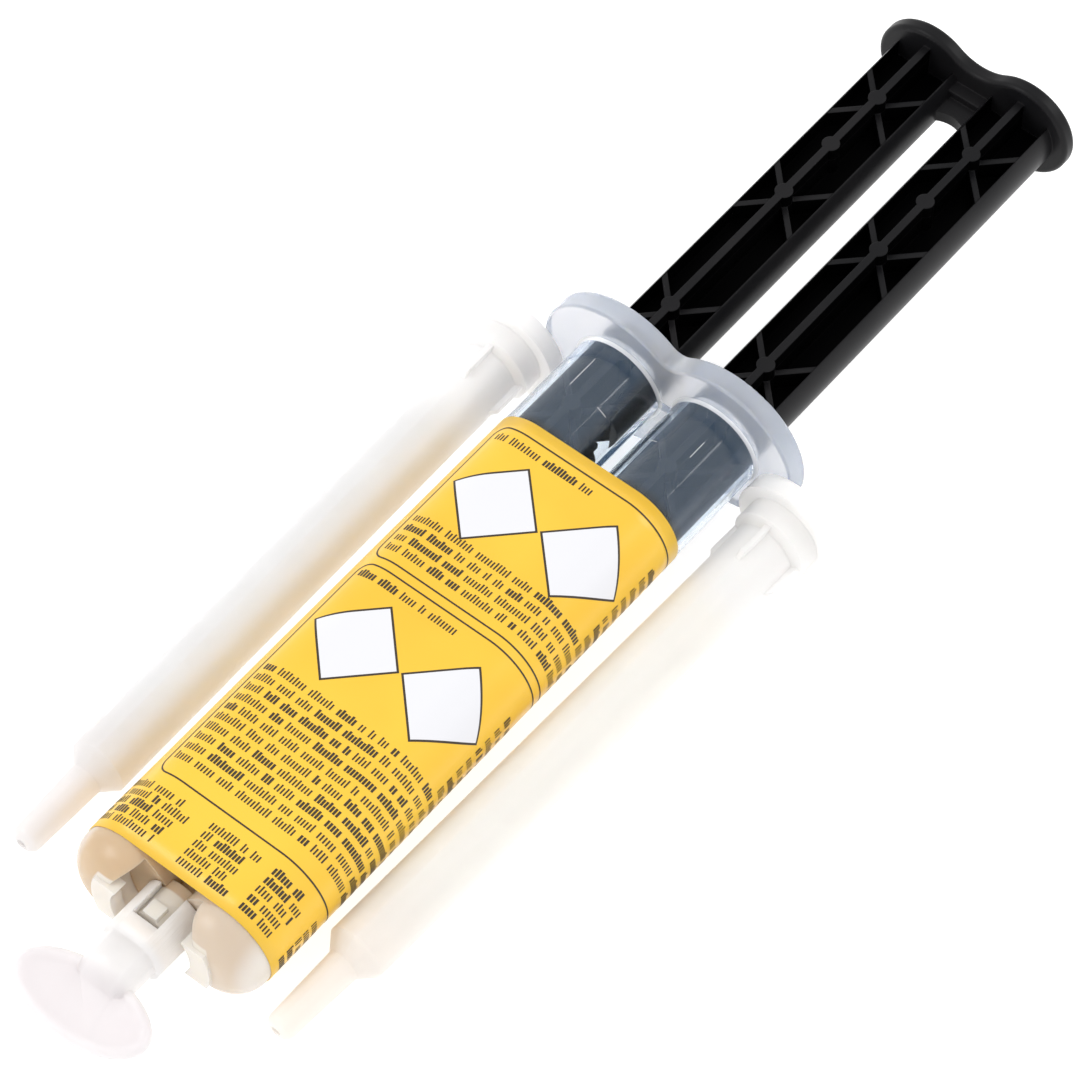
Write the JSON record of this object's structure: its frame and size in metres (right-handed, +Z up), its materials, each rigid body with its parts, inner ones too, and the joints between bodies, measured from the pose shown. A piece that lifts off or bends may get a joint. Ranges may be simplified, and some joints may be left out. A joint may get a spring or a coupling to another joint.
{
  "type": "twin barrel epoxy syringe",
  "caption": "Two-part adhesive syringe: joined clear barrels in a yellow label sleeve, a ribbed black plunger, a closure cap on the outlet and static mixing nozzles lying alongside.",
  "frame": {"origin": "centre of the bounding box on the table plane", "axes": "+X along the length from the closure cap towards the thumb plate, +Y across both barrels towards nozzle a, +Z up"},
  "size_m": [0.2191, 0.073, 0.0285],
  "materials": {
    "clear_plastic": "clear to slightly milky moulded plastic",
    "label_film": "satin printed yellow film",
    "black_plastic": "satin black moulded plastic",
    "cap_plastic": "milky translucent moulded plastic",
    "nozzle_plastic": "milky white moulded plastic",
    "warm_nozzle_plastic": "milky moulded plastic with a warm tint",
    "resin": "beige paste",
    "hardener": "beige paste",
    "piston_plastic": "moulded plastic",
    "element_plastic": "moulded plastic"
  },
  "bodies": {
    "cartridge": {"cartridge": "clear_plastic", "label": "label_film", "resin_fill": "resin", "hardener_fill": "hardener"},
    "plunger": {"plunger": "black_plastic", "piston_a": "piston_plastic", "piston_b": "piston_plastic"},
    "closure_cap": {"closure_cap": "cap_plastic"},
    "mixer_a": {"mixer_a_housing": "nozzle_plastic", "mixer_a_element": "element_plastic"},
    "mixer_b": {"mixer_b_housing": "warm_nozzle_plastic", "mixer_b_element": "element_plastic"}
  },
  "joints": [
    {"name": "plunger_slide", "type": "slide", "parent": "cartridge", "child": "plunger", "axis": [-0.9992, 0, -0.0399], "range_m": [0, 0.0701], "deforming": ["resin_fill", "hardener_fill"]},
    {"name": "cap_pull", "type": "slide", "parent": "cartridge", "child": "closure_cap", "axis": [-0.9992, 0, -0.0399], "range_m": [0, 0.015]},
    {"name": "mixer_a_lift", "type": "slide", "parent": "cartridge", "child": "mixer_a", "axis": [-0.0282, 0.7071, 0.7065], "range_m": [0, 0.04]},
    {"name": "mixer_b_lift", "type": "slide", "parent": "cartridge", "child": "mixer_b", "axis": [-0.0282, -0.7071, 0.7065], "range_m": [0, 0.04]}
  ]
}
